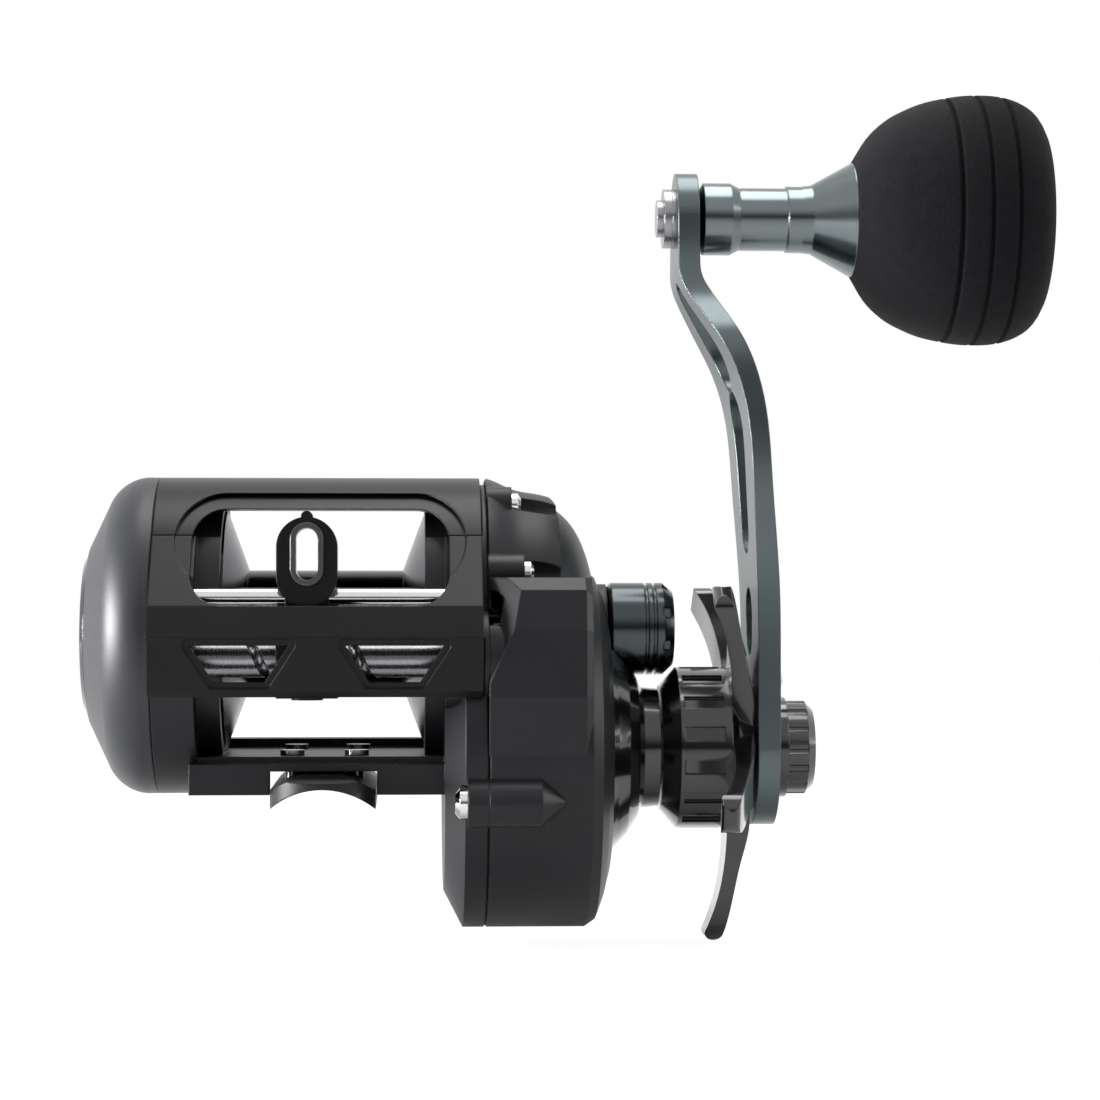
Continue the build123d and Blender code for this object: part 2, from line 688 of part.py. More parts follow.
# ---------------------------------------------------------------- gear cover
dome_curve = [(right_out + 5.4, 22.0), (right_out + 10.3, 19.7), (right_out + 13.6, 16.9), (right_out + 15.6, 13.4),
              (right_out + 17.0, 8.9), (right_out + 17.6, 5.9)]
band_curve = [(right_out + seam, 24.0), (right_out + 1.5, 23.6), (right_out + 4.4, 22.3), (right_out + 8.5, 21.5),
              (right_out + 11.4, 20.6)]
band_out = right_out + 9.9
band_turn = 10.0                # degrees by which the band's outer face turns towards the front
rim_in = drum_out - 3.7
drum = [(right_out, 0), (right_out, drum_radius - seam), (right_out + seam, drum_radius), (rim_in, drum_radius),
        (rim_in + 1.6, drum_radius - 1.1), (rim_in + 2.8, 24.0), (drum_out, 20.4), (drum_out, 0)]
dome_inside = [(right_out - 1, 0), (right_out - 1, 21.2), (right_out + 4.9, 20.0), (right_out + 8.9, 18.4),
               (right_out + 11.4, 16.2), (right_out + 13.2, 13.2), (right_out + 15.1, 8.0), (right_out + 15.5, 0)]
drum_inside = [(right_out - 1, 0), (right_out - 1, drum_radius - shell), (rim_in - 1.0, drum_radius - shell),
               (drum_out - 2.2, 22.0), (drum_out - 1.9, 19.0), (drum_out - 1.9, 0)]
shoulder_top = 31.9
shoulder_front = -31.6
shoulder_side = [(crank_y, shoulder_top), (shoulder_front + 4.0, shoulder_top), (shoulder_front + 1.4, shoulder_top - 1.9),
                 (shoulder_front, 24.0), (shoulder_front, 14.0), (crank_y - drum_radius, crank_z), (crank_y, crank_z)]
facet_corner = (right_out + 4.8, shoulder_front + 1.4, shoulder_top - 1.9)
boss_out = drum_out + 7.7
thread_radius = 6.0
spool_bearing_in = drum_out + 3.8
cover_screw_places = [(-9.6, 43.4, right_out + 4.0), (-20.5, 32.6, right_out + 5.6)]
cover_screw_head = 1.9


def shoulder(x0, x1, inset):
    """Front shoulder of the gear cover, or the room inside it."""
    with BuildPart() as piece:
        with BuildSketch(section(x0)):
            with BuildLine():
                Polyline(*shoulder_side, close=True)
            make_face()
            if inset:
                offset(amount=-inset, kind=Kind.INTERSECTION)
        extrude(amount=x1 - x0)
    return piece.part


with BuildPart() as shoulder_shell:
    add(shoulder(right_out, rim_in, 0))
    chamfer(shoulder_shell.faces().sort_by(Axis.X)[-1].edges().filter_by(GeomType.LINE).sort_by(Axis.Y)[:5], length=1.1)
    split(bisect_by=Plane(origin=facet_corner, z_dir=(-0.632, -0.722, 0.282)), keep=Keep.BOTTOM)

with BuildPart() as screw_band:
    add(turned_round([(right_out, 0), (right_out, 24.0 - seam)], band_curve, [(right_out + 11.4, 0)], 0, spool_z))
    with BuildSketch(Plane(origin=(band_out, 0, spool_z), z_dir=(1, 0, 0)).rotated((0, 0, band_turn))):
        Rectangle(90, 90)
    extrude(amount=40, mode=Mode.SUBTRACT)

with BuildPart() as gear_cover:
    add(turned_round([(right_out, 0), (right_out, 22.6)], dome_curve, [(right_out + 17.6, 0)], 0, spool_z))
    add(screw_band.part)
    add(turned(drum, crank_y, crank_z))
    add(shoulder_shell.part)
    add(ring(right_out, ear_out, 0, ear_radius, worm_y, worm_z))
    add(turned([(right_out, 0), (right_out, boss_radius), (right_out + 7.9, boss_radius), (right_out + 11.5, 0.6),
                (right_out + 11.5, 0)], screw_y, screw_z))
    add(turned(dome_inside, 0, spool_z), mode=Mode.SUBTRACT)
    add(turned(drum_inside, crank_y, crank_z), mode=Mode.SUBTRACT)
    add(shoulder(right_out - 1, rim_in - shell, shell + 0.3), mode=Mode.SUBTRACT)
    add(ring(right_out - 1, ear_out - 1.6, 0, ear_radius - 1.5, worm_y, worm_z), mode=Mode.SUBTRACT)
    add(ring(drum_out - 6.5, boss_out, 0, thread_radius, 0, spool_z))
    add(ring(drum_out - 3.5, drum_out, 0, cap_radius - 0.2, 0, spool_z))
    for y, z, seat in cover_screw_places:
        add(ring(right_out, seat, 0, 2.9, y, z))
        add(ring(seat, seat + 12, 0, cover_screw_head + 0.5, y, z), mode=Mode.SUBTRACT)
    add(ring(right_out, right_out + 6.9, 0, 1.9, screw_y, screw_z))
    with BuildSketch(section(drum_out - 6.5)):
        with Locations((0, spool_z)):
            Circle(5.0)
    extrude(amount=2.7, mode=Mode.SUBTRACT)
    with BuildSketch(section(drum_out - 3.9)):
        with Locations((0, spool_z)):
            Circle(3.1)
    extrude(amount=20, mode=Mode.SUBTRACT)
    with BuildSketch(section(spool_bearing_in - 0.1)):
        with Locations((0, spool_z)):
            Circle(bearing_seat_radius)
    extrude(amount=20, mode=Mode.SUBTRACT)
    with BuildSketch(section(drum_out - 4.5)):
        with Locations((crank_y, crank_z)):
            Circle(spigot_radius)
    extrude(amount=10, mode=Mode.SUBTRACT)
    with BuildSketch(section(right_out - 1)):
        with Locations((screw_y, screw_z)):
            Circle(1.25)
    extrude(amount=8, mode=Mode.SUBTRACT)
    with BuildSketch(section(right_out)):
        with Locations([(y, z) for y, z, seat in cover_screw_places]):
            Circle(screw_radius)
    extrude(amount=8, mode=Mode.SUBTRACT)
pieces["gear_cover"] = gear_cover.part
pieces["right_spool_bearing"] = ring(spool_bearing_in, spool_bearing_in + 2.4, shaft_radius + running, bearing_seat_radius,
                                     0, spool_z)

with BuildPart() as cover_screws:
    for y, z, seat in cover_screw_places:
        add(joined(ring(right_out, seat, 0, screw_radius, y, z),
                   turned([(seat, 0), (seat, cover_screw_head), (seat + 1.0, cover_screw_head), (seat + 1.5, 1.2),
                           (seat + 1.5, 0)], y, z)))
    add(joined(ring(screw_seat, right_out + 6.9, 0, 1.25, screw_y, screw_z),
               turned([(screw_seat, 0), (screw_seat, 2.5), (screw_seat - 1.2, 2.5), (screw_seat - 1.9, 1.6),
                       (screw_seat - 1.9, 0)], screw_y, screw_z)))
pieces["cover_screws"] = cover_screws.part

# ---------------------------------------------------------------- cast control cap
cap_in = drum_out + loose
cap_out = drum_out + 10.7
ring_floor = cap_radius - 0.35
with BuildPart() as tension_cap:
    add(turned([(cap_in, thread_radius + running), (cap_in, cap_radius - 0.65), (cap_in + 0.7, cap_radius),
                (cap_out - 4.6, cap_radius), (cap_out - 4.6, ring_floor), (cap_out - 4.1, ring_floor),
                (cap_out - 4.1, cap_radius), (cap_out - 3.3, cap_radius), (cap_out - 3.3, ring_floor),
                (cap_out - 2.8, ring_floor), (cap_out - 2.8, cap_radius), (cap_out - 1.6, cap_radius), (cap_out, 5.9),
                (cap_out, 0), (cap_out - 1.8, 0), (cap_out - 1.8, 3.4), (cap_out - 2.7, 3.4),
                (cap_out - 2.7, thread_radius + running)], 0, spool_z))
    with BuildSketch(section(cap_out - 1.8)):
        with Locations((0, spool_z)):
            with PolarLocations(cap_radius, 8, start_angle=22.5):
                Rectangle(1.6, 1.6)
    extrude(amount=3, mode=Mode.SUBTRACT)
pieces["tension_cap"] = tension_cap.part
with BuildPart() as tension_washers:
    add(ring(shaft_right + 0.1, shaft_right + 0.5, 0, 3.2, 0, spool_z))
    add(ring(shaft_right + 0.6, cap_out - 1.9, 0, 3.2, 0, spool_z))
pieces["tension_washers"] = tension_washers.part

# ---------------------------------------------------------------- star drag
star_tip_z = crank_z + star_reach
with BuildPart() as star_arm:
    with BuildSketch(Plane.XZ.offset(-crank_y - 8)):
        with BuildLine():
            inner_edge = Spline((star_out + 0.2, crank_z + 11), (star_out - 0.1, crank_z + 18), (star_out - 3.2, star_tip_z - 1.5),
                                tangents=((0, 1), (-0.5, 1)))
            outer_edge = Spline((star_face - 0.3, crank_z + 11), (star_face - 1.6, crank_z + 18), (star_out - 0.2, star_tip_z - 1.2),
                                tangents=((0, 1), (-0.35, 1)))
            ThreePointArc(inner_edge @ 1, (star_out - 2.0, star_tip_z), outer_edge @ 1)
            Polyline(inner_edge @ 0, (star_out + 0.2, crank_z), (star_face - 0.3, crank_z), outer_edge @ 0)
        make_face()
    extrude(amount=16)
    with BuildSketch(section(star_in)):
        with BuildLine():
            near_side = Spline((crank_y - 5.6, crank_z + 8), (crank_y - 3.9, crank_z + 18), (crank_y - 3.2, star_tip_z - 3),
                               tangents=((0.2, 1), (0.1, 1)))
            far_side = Spline((crank_y + 5.6, crank_z + 8), (crank_y + 3.9, crank_z + 18), (crank_y + 3.2, star_tip_z - 3),
                              tangents=((-0.2, 1), (-0.1, 1)))
            ThreePointArc(near_side @ 1, (crank_y, star_tip_z + 0.2), far_side @ 1)
            Polyline(near_side @ 0, (crank_y - 5.6, crank_z), (crank_y + 5.6, crank_z), far_side @ 0)
        make_face()
    extrude(amount=star_face - star_in, mode=Mode.INTERSECT)

nut_seat = star_out - 0.6
with BuildPart() as star_wheel:
    add(turned([(star_in, 7.4), (star_in, 9.8), (star_in + 2.6, star_hub_radius), (star_out + 0.3, star_hub_radius),
                (star_out + 1.5, 11.0), (star_face, 10.0), (star_face, crank_radius + running),
                (nut_seat, crank_radius + running), (nut_seat, 7.4)], crank_y, crank_z))
    for arm in range(5):
        add(star_arm.part.rotate(axle(crank_y, crank_z), 180 + 72 * arm))
    with BuildSketch(section(star_in + 3.2)):
        with Locations((crank_y, crank_z)):
            with PolarLocations(star_hub_radius + 0.5, 15):
                Rectangle(2.2, 2.2)
    extrude(amount=star_out - star_in - 4.0, mode=Mode.SUBTRACT)
    add(ring(nut_seat - 0.2, star_face + 1, 0, crank_radius + running, crank_y, crank_z), mode=Mode.SUBTRACT)
pieces["star_wheel"] = star_wheel.part

with BuildPart() as star_nut:
    with BuildSketch(section(star_in + 1.3)):
        with Locations((crank_y, crank_z)):
            RegularPolygon(7.2, 6)
            Circle(crank_radius + running, mode=Mode.SUBTRACT)
    extrude(amount=nut_seat - 0.2 - star_in - 1.3)
pieces["star_nut"] = star_nut.part

# ---------------------------------------------------------------- handle
crank_end_half = 12.3
knob_end_half = 7.2
knob_end_thick = 3.4
# Shares of the way up from crank to knob and across from the crank end to the knob end, with the thickness
arm_line = [(0.17, 0.0, arm_thick), (0.30, 0.015, 3.5), (0.50, 0.115, 3.0), (0.63, 0.20, 3.0), (0.735, 0.42, 3.1),
            (0.85, 0.88, 3.3), (0.905, 1.0, knob_end_thick)]
# Shares of the way up, with the half width across the reel
arm_widths = [(0.35, 13.2), (0.50, 15.4), (0.68, 15.8), (0.77, 14.6), (0.85, 9.6), (0.90, 8.0)]
lock_z = crank_z + 10.6         # screw that keeps the handle nut from turning


def arm_edge(side):
    """Points of one face of the handle arm, beside its middle line in the front view."""
    middle = [(arm_x + across * (knob_x - arm_x), crank_z + up * knob_reach) for up, across, thick in arm_line]
    edge = []
    for index, (x, z) in enumerate(middle):
        if index in (0, len(middle) - 1):
            along = Vector(0, 1)
        else:
            before, after = middle[index - 1], middle[index + 1]
            along = Vector(after[0] - before[0], after[1] - before[1]).normalized()
        half = arm_line[index][2] / 2
        edge.append((x + side * along.Y * half, z - side * along.X * half))
    return edge


def arm_flank(side):
    """Points of one side of the handle arm in the side view, from the crank end to the knob end."""
    middle = [(crank_y + side * half, crank_z + up * knob_reach) for up, half in arm_widths]
    return [(crank_y + side * crank_end_half, crank_z)] + middle + [(crank_y + side * knob_end_half, knob_z)]


with BuildPart() as handle_arm:
    with BuildSketch(Plane.XZ.offset(-crank_y - 20)):
        with BuildLine():
            right_edge = Spline(*arm_edge(1), tangents=((0, 1), (0, 1)))
            left_edge = Spline(*arm_edge(-1), tangents=((0, 1), (0, 1)))
            Polyline(right_edge @ 0, (arm_x + arm_thick / 2, crank_z - 20), (arm_x - arm_thick / 2, crank_z - 20),
                     left_edge @ 0)
            Polyline(right_edge @ 1, (knob_x + knob_end_thick / 2, knob_z + 20), (knob_x - knob_end_thick / 2, knob_z + 20),
                     left_edge @ 1)
        make_face()
    extrude(amount=40)
    with BuildSketch(section(knob_x - 10)):
        with BuildLine():
            front_flank = Spline(*arm_flank(-1), tangents=((0, 1), (0, 1)))
            back_flank = Spline(*arm_flank(1), tangents=((0, 1), (0, 1)))
            ThreePointArc(front_flank @ 1, (crank_y, knob_z + knob_end_half), back_flank @ 1)
            ThreePointArc(front_flank @ 0, (crank_y, crank_z - crank_end_half), back_flank @ 0)
        make_face()
        for low, low_radius, high, high_radius in ((0.745, 6.2, 0.85, 2.4), (0.42, 4.6, 0.60, 6.4), (0.215, 3.6, 0.255, 4.0)):
            with BuildSketch(mode=Mode.SUBTRACT):
                with Locations((crank_y, crank_z + low * knob_reach)):
                    Circle(low_radius)
                with Locations((crank_y, crank_z + high * knob_reach)):
                    Circle(high_radius)
                make_hull()
    extrude(amount=arm_x - knob_x + 20, mode=Mode.INTERSECT)
    with BuildSketch(section(knob_x - 10)):
        with Locations((crank_y, crank_z)):
            Circle(crank_end_radius)
        with Locations((crank_y, knob_z)):
            Circle(spindle_radius)
        with Locations((crank_y, lock_z)):
            Circle(0.9)
    extrude(amount=30, mode=Mode.SUBTRACT)
pieces["handle_arm"] = handle_arm.part

pieces["nut_washer"] = ring(arm_out, washer_out, crank_end_radius, 8.0, crank_y, crank_z)
with BuildPart() as handle_nut:
    add(turned([(washer_out, 0), (washer_out, 7.4), (nut_out - 1.2, 7.4), (nut_out, 6.2), (nut_out, 0)], crank_y, crank_z))
    with BuildSketch(section(washer_out)):
        with Locations((crank_y, crank_z)):
            with PolarLocations(8.0, 14):
                Circle(1.0)
            Circle(crank_end_radius)
    extrude(amount=nut_out - 1.2 - washer_out, mode=Mode.SUBTRACT)
pieces["handle_nut"] = handle_nut.part
with BuildPart() as nut_lock_screw:
    add(joined(ring(arm_in, arm_out + 0.8, 0, 0.9, crank_y, lock_z),
               turned([(arm_out, 0), (arm_out, 2.3), (arm_out + 1.0, 2.3), (arm_out + 1.6, 1.2), (arm_out + 1.6, 0)],
                      crank_y, lock_z)))
pieces["nut_lock_screw"] = nut_lock_screw.part

arm_knob_left = knob_x - knob_end_thick / 2
barrel_start = knob_x + knob_end_thick / 2 + 0.25
barrel_radius = 5.75
grip_start = barrel_start + 24.8
grip_length = 30.7
grip_bore = 6.4
# Along the grip from its inner end, with the radius
grip_curve = [(0, 9.2), (2.7, 13.3), (5.6, 16.0), (8.4, 17.6), (14.7, 19.5), (19.9, 20.0), (24.3, 19.6),
              (28.4, 17.6), (grip_length, 12.5)]
outer_bearing_in = grip_start + 6.1
spindle_end = grip_start + 14
pieces["knob_spindle"] = joined(
    ring(arm_knob_left, spindle_end, 0, spindle_radius, crank_y, knob_z),
    ring(arm_knob_left - 0.6, arm_knob_left, 0, 4.7, crank_y, knob_z))
pieces["spindle_nut"] = joined(
    ring(arm_knob_left - 1.9, arm_knob_left - 0.6, 0, 4.7, crank_y, knob_z),
    ring(arm_knob_left - 2.9, arm_knob_left - 1.9, 0, 2.95, crank_y, knob_z))

bearing_radius = 4.0
bearing_width = 2.5
with BuildPart() as knob_barrel:
    add(turned([(barrel_start, 4.2), (barrel_start + 0.8, barrel_radius), (barrel_start + 5.2, barrel_radius),
                (barrel_start + 6.6, 5.0), (grip_start - 10.6, 5.0), (grip_start - 10.6, 5.3), (grip_start - 8.2, 5.3),
                (grip_start - 6.6, 5.5), (grip_start, 9.15), (grip_start, grip_bore), (grip_start + 12, grip_bore),
                (grip_start + 12, bearing_radius), (outer_bearing_in - 0.1, bearing_radius), (outer_bearing_in - 0.1, 3.0),
                (barrel_start + 3.0, 3.0), (barrel_start + 3.0, bearing_radius), (barrel_start, bearing_radius)],
               crank_y, knob_z))
pieces["knob_barrel"] = knob_barrel.part
with BuildPart() as knob_bearings:
    for start in (barrel_start + 0.4, outer_bearing_in):
        add(ring(start, start + bearing_width, spindle_radius + running, bearing_radius, crank_y, knob_z))
pieces["knob_bearings"] = knob_bearings.part
pieces["spindle_clip"] = ring(spindle_end - 1.0, spindle_end, spindle_radius, 3.6, crank_y, knob_z)
with BuildPart() as knob_grip:
    add(turned_round([(grip_start, grip_bore + running)], [(grip_start + along, radius) for along, radius in grip_curve],
                     [(grip_start + grip_length, 0), (grip_start + 16, 0), (grip_start + 16, grip_bore + running)],
                     crank_y, knob_z))
    for along in (14.7, 19.3, 23.6):
        add(ring(grip_start + along - 0.4, grip_start + along + 0.4, 19.0, 24, crank_y, knob_z), mode=Mode.SUBTRACT)
pieces["knob_grip"] = knob_grip.part

# ---------------------------------------------------------------- level wind
bush_in = left_in - 4.5
with BuildPart() as worm_bushes:
    for start, end in ((bush_in, left_in), (right_in, right_out)):
        add(ring(start, end, journal_radius + running, bush_radius, worm_y, worm_z))
pieces["worm_bushes"] = worm_bushes.part

groove_half = 11.5
with BuildPart() as worm_shaft:
    with BuildSketch(section(left_in + 0.2)):
        with Locations((worm_y, worm_z)):
            Circle(worm_radius)
    extrude(amount=right_in - left_in - 0.4)
    for lefthand in (False, True):
        with BuildLine() as thread:
            Helix(pitch=7.6, height=2 * groove_half, radius=worm_radius, center=(-groove_half, worm_y, worm_z),
                  direction=(1, 0, 0), lefthand=lefthand)
        with BuildSketch(Plane(origin=thread.line @ 0, z_dir=thread.line % 0)) as groove_section:
            Circle(0.75)
        sweep(groove_section.sketch, path=thread.line, is_frenet=True, mode=Mode.SUBTRACT)
    add(ring(bush_in, left_in + 0.3, 0, journal_radius, worm_y, worm_z))
    add(ring(right_in - 0.3, line_gear_out + 0.4, 0, journal_radius, worm_y, worm_z))
pieces["worm_shaft"] = worm_shaft.part

pieces["guide_rod"] = ring(left_out + 2, rod_right, 0, rod_radius, rod_y, rod_z)

carriage_low = 13.65
with BuildPart() as guide_carriage:
    add(block((guide_x - carriage_half, -28.2, 15.2), (guide_x + carriage_half, -20.0, 24.2)))
    add(block((guide_x - carriage_half, -27.2, carriage_low), (guide_x + carriage_half, -21.0, 15.4)))
    add(block((guide_x - 3.3, -27.0, 24.0), (guide_x + 3.3, -22.0, 30.4)))
    with BuildSketch(Plane.XZ.offset(28.4)):
        with Locations((guide_x, 34.2)):
            SlotOverall(13.6, 9.2, rotation=90)
        with Locations((guide_x, 41.0)):
            Circle(0.9)
        with Locations((guide_x, 35.4)):
            SlotOverall(9.6, 5.0, rotation=90, mode=Mode.SUBTRACT)
    extrude(amount=-4.2)
    with BuildSketch(section(guide_x - 10)):
        with Locations((worm_y, worm_z)):
            Circle(worm_radius + 0.1)
        with Locations((rod_y, rod_z)):
            Circle(rod_radius + running)
    extrude(amount=20, mode=Mode.SUBTRACT)
    with BuildSketch(Plane.XY.offset(carriage_low - 1)):
        with Locations((guide_x, worm_y)):
            Circle(1.5 + running)
    extrude(amount=6, mode=Mode.SUBTRACT)
    with BuildSketch(Plane.XY.offset(carriage_low - 1)):
        with Locations((guide_x, worm_y)):
            Circle(2.4)
    extrude(amount=2.0, mode=Mode.SUBTRACT)
pieces["guide_carriage"] = guide_carriage.part

with BuildPart() as eye_insert:
    with BuildSketch(Plane.XZ.offset(28.6)):
        with Locations((guide_x, 35.4)):
            SlotOverall(9.6, 5.0, rotation=90)
            SlotOverall(7.8, 3.2, rotation=90, mode=Mode.SUBTRACT)
    extrude(amount=-4.6)
pieces["eye_insert"] = eye_insert.part

with BuildPart() as pawl:
    with BuildSketch(Plane.XY.offset(carriage_low + 1.1)):
        with Locations((guide_x, worm_y)):
            Circle(1.5)
    extrude(amount=worm_z - worm_radius - 0.15 - carriage_low - 1.1)
pieces["pawl"] = pawl.part
with BuildPart() as pawl_cap:
    with BuildSketch(Plane.XY.offset(carriage_low - 0.3)):
        with Locations((guide_x, worm_y)):
            Circle(2.4)
    extrude(amount=1.3)
pieces["pawl_cap"] = pawl_cap.part

# ---------------------------------------------------------------- write one file per piece
os.makedirs("parts", exist_ok=True)
for name, piece in pieces.items():
    piece.label = name
    export_step(piece, f"parts/{name}.step")
print(len(pieces), "nodes written")
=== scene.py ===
"""Looks of the left-hand baitcasting reel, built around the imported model."""
import json
import logging
import math
from dataclasses import dataclass, field
from enum import Enum

import bmesh
import bpy
from mathutils import Matrix, Vector


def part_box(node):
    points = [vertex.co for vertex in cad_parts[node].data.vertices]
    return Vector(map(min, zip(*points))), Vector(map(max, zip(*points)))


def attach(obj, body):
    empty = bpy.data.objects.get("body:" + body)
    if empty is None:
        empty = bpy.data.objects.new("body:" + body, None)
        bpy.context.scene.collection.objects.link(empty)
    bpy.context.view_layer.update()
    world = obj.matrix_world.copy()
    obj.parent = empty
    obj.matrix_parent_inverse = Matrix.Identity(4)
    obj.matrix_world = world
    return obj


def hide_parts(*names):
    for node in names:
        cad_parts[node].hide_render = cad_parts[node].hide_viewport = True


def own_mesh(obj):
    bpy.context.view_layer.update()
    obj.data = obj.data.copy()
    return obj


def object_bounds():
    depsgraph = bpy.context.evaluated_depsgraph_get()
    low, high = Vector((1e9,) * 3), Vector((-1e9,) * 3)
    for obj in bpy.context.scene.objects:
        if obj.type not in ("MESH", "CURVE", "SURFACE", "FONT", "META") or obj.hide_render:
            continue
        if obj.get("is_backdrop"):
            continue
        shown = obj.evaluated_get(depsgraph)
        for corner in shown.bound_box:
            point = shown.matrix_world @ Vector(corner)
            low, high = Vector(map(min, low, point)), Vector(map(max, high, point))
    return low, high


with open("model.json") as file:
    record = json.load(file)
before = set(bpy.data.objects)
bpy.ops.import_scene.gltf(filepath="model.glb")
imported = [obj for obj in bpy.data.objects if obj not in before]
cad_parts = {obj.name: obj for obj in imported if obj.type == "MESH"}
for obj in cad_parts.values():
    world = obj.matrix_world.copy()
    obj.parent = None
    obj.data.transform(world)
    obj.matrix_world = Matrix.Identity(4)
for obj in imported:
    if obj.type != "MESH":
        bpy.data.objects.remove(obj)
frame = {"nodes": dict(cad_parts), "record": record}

log = logging.getLogger("reel")
MM = 0.001
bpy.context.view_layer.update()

# sockets of the Mix node that carry colours
COLOUR_A, COLOUR_B, COLOUR_RESULT = 6, 7, 2
# how far lathe lines stretch round the X axis, as the noise's scale on each axis
LATHE_STRETCH = (1.0, 0.03, 0.03)
# least roughness that a finish swings down to
SMOOTHEST = 0.02
COAT_ROUGHNESS = 0.08
SHEEN_ROUGHNESS = 0.6
GRAIN_STRENGTH = 0.6
EDGE_SAMPLES = 6


# ------------------------------------------------------------------ colours and nodes
def linear(hex_colour: str) -> tuple[float, float, float, float]:
    """Linear colour of an sRGB hex value.

    Args:
        hex_colour: six hex digits, with or without the hash.

    Returns:
        Red, green, blue and an alpha of 1.
    """
    digits = hex_colour.lstrip("#")
    channels = [int(digits[i:i + 2], 16) / 255 for i in (0, 2, 4)]
    parts = [c / 12.92 if c <= 0.04045 else ((c + 0.055) / 1.055) ** 2.4 for c in channels]
    return (parts[0], parts[1], parts[2], 1.0)


def add_node(tree: bpy.types.NodeTree, kind: str, links: dict | None = None, props: dict | None = None,
             **inputs: object) -> bpy.types.Node:
    """Add one shader node.

    Args:
        tree: node tree to add it to.
        kind: Blender's node type name.
        links: input name or number to the output socket that feeds it.
        props: properties of the node itself.
        inputs: input name, with spaces as underscores, to its value.

    Returns:
        The new node.
    """
    node = tree.nodes.new(kind)
    for name, value in (props or {}).items():
        setattr(node, name, value)
    for name, value in inputs.items():
        node.inputs[name.replace("_", " ")].default_value = value
    for name, socket in (links or {}).items():
        tree.links.new(socket, node.inputs[name])
    return node


# ------------------------------------------------------------------ finishes
@dataclass(frozen=True)
class Finish:
    """One finish: what the surface is made of and how its fine texture looks.

    Sizes are in millimetres, colours are sRGB hex values.
    """

    name: str
    colour: str
    dark: str
    roughness: float
    metallic: float = 0.0
    coat: float = 0.0
    grain: float = 0.4
    grain_height: float = 0.01
    rough_swing: float = 0.08
    turned: bool = False
    sheen: float = 0.0
    flutter: float = 12.0
    worn_edge: float = 0.35
    gloss: float = 0.5

    def build(self) -> bpy.types.Material:
        """Make the material's node tree.

        Returns:
            The finished material.
        """
        material = bpy.data.materials.new(self.name)
        material.use_nodes = True
        tree = material.node_tree
        tree.nodes.clear()
        place = add_node(tree, "ShaderNodeTexCoord")
        stretch = LATHE_STRETCH if self.turned else (1.0, 1.0, 1.0)
        mapped = add_node(tree, "ShaderNodeMapping", {"Vector": place.outputs["Object"]}, Scale=stretch)
        fine = add_node(tree, "ShaderNodeTexNoise", {"Vector": mapped.outputs["Vector"]},
                        Scale=1.0 / (self.grain * MM), Detail=4.0, Roughness=0.6)
        broad = add_node(tree, "ShaderNodeTexNoise", {"Vector": place.outputs["Object"]},
                         Scale=1.0 / (self.flutter * MM), Detail=3.0)
        tint = add_node(tree, "ShaderNodeMix", {"Factor": broad.outputs["Fac"]}, {"data_type": "RGBA"})
        tint.inputs[COLOUR_A].default_value = linear(self.dark)
        tint.inputs[COLOUR_B].default_value = linear(self.colour)
        rough = add_node(tree, "ShaderNodeMapRange", {"Value": fine.outputs["Fac"]})
        rough.inputs["To Min"].default_value = max(SMOOTHEST, self.roughness - self.rough_swing)
        rough.inputs["To Max"].default_value = min(1.0, self.roughness + self.rough_swing)
        softened = add_node(tree, "ShaderNodeBevel", props={"samples": EDGE_SAMPLES},
                            Radius=self.worn_edge * MM)
        bump = add_node(tree, "ShaderNodeBump",
                        {"Height": fine.outputs["Fac"], "Normal": softened.outputs["Normal"]},
                        Strength=GRAIN_STRENGTH, Distance=self.grain_height * MM)
        shader = add_node(tree, "ShaderNodeBsdfPrincipled",
                          {"Base Color": tint.outputs[COLOUR_RESULT], "Roughness": rough.outputs["Result"],
                           "Normal": bump.outputs["Normal"]},
                          Metallic=self.metallic, Specular_IOR_Level=self.gloss,
                          Coat_Weight=self.coat, Coat_Roughness=COAT_ROUGHNESS,
                          Sheen_Weight=self.sheen, Sheen_Roughness=SHEEN_ROUGHNESS)
        add_node(tree, "ShaderNodeOutputMaterial", {"Surface": shader.outputs["BSDF"]})
        return material


